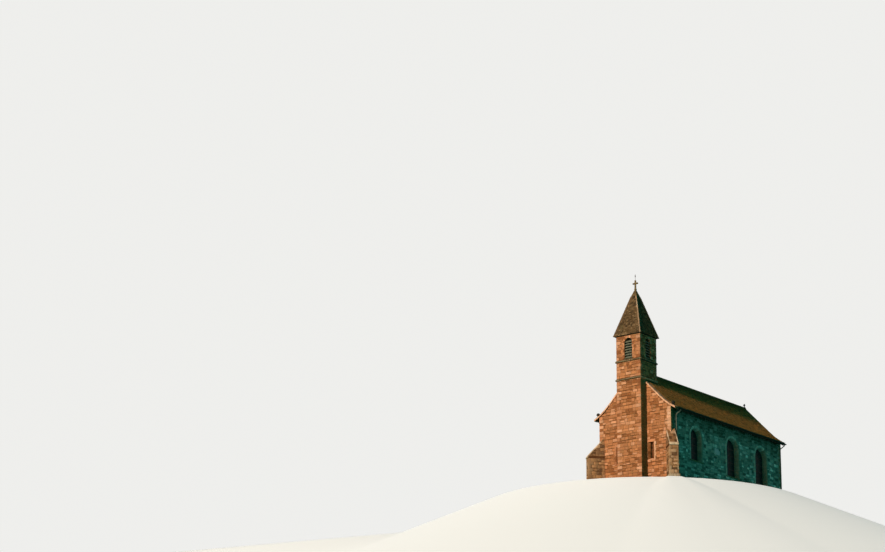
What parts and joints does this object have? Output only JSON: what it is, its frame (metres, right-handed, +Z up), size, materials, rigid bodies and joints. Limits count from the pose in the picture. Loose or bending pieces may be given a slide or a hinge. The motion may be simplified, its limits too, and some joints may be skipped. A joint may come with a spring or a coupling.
{
  "type": "small chapel",
  "caption": "Small stone chapel with a square front tower, louvred belfry, tiled four-sided spire, swept gable roof, corner buttresses and round-headed side windows.",
  "frame": {"origin": "on the ground, at the middle of the chapel's overall width and length", "axes": "+Z up; the front with the tower faces -Y; +X is to the right of someone who looks at the front from outside"},
  "size_m": [9.5334, 18.5568, 18.3787],
  "materials": {
    "sandstone": "coursed warm sandstone, rough hewn",
    "string_stone": "dressed sandstone, weathered",
    "coping_stone": "dressed pale sandstone",
    "buttress_stone": "coursed sandstone, weathered",
    "rubble": "rubble stone with lime joints",
    "dressed_stone": "dressed stone, weathered",
    "floor_stone": "worn stone flags",
    "roof_tiles": "flat clay tiles, weathered",
    "spire_tiles": "small flat clay tiles, weathered",
    "hip_stone": "mortared hip tiles",
    "cap_stone": "golden sandstone, lichened",
    "knob_stone": "dark weathered stone",
    "louvre_wood": "weathered boards",
    "rafter_wood": "old rafters, dark",
    "door_wood": "oiled oak boards",
    "dark_zinc": "dull, weathered",
    "grey_zinc": "dull, weathered",
    "iron": "dull, weathered",
    "leaded_glass": "small panes in lead"
  },
  "bodies": {
    "root": {"floor": "floor_stone", "front_wall_left": "sandstone", "front_wall_right": "sandstone", "side_wall_left": "rubble", "side_wall_right": "rubble", "rear_wall": "rubble", "tower_front_wall": "sandstone", "tower_rear_wall": "sandstone", "tower_left_wall": "sandstone", "tower_right_wall": "sandstone", "lower_string": "string_stone", "upper_string": "string_stone", "belfry_front_wall": "sandstone", "belfry_rear_wall": "sandstone", "belfry_left_wall": "sandstone", "belfry_right_wall": "sandstone", "belfry_sills": "string_stone", "louvres": "louvre_wood", "spire": "spire_tiles", "spire_hips": "hip_stone", "spire_cap": "cap_stone", "cross": "cap_stone", "spire_rod": "iron", "roof_left": "roof_tiles", "roof_right": "roof_tiles", "rafter_feet_left": "rafter_wood", "rafter_feet_right": "rafter_wood", "ridge_tiles": "roof_tiles", "ridge_finial": "iron", "front_copings": "coping_stone", "coping_knobs": "knob_stone", "buttress_left": "buttress_stone", "buttress_right": "buttress_stone", "gutter_left": "dark_zinc", "gutter_right": "dark_zinc", "downpipes": "grey_zinc", "surrounds_left": "dressed_stone", "surrounds_right": "dressed_stone", "window_sills": "dressed_stone", "glazing_left": "leaded_glass", "glazing_right": "leaded_glass", "front_glazing": "leaded_glass", "door_surround": "dressed_stone", "door_sill": "floor_stone", "door": "door_wood", "door_iron": "iron"}
  },
  "joints": []
}
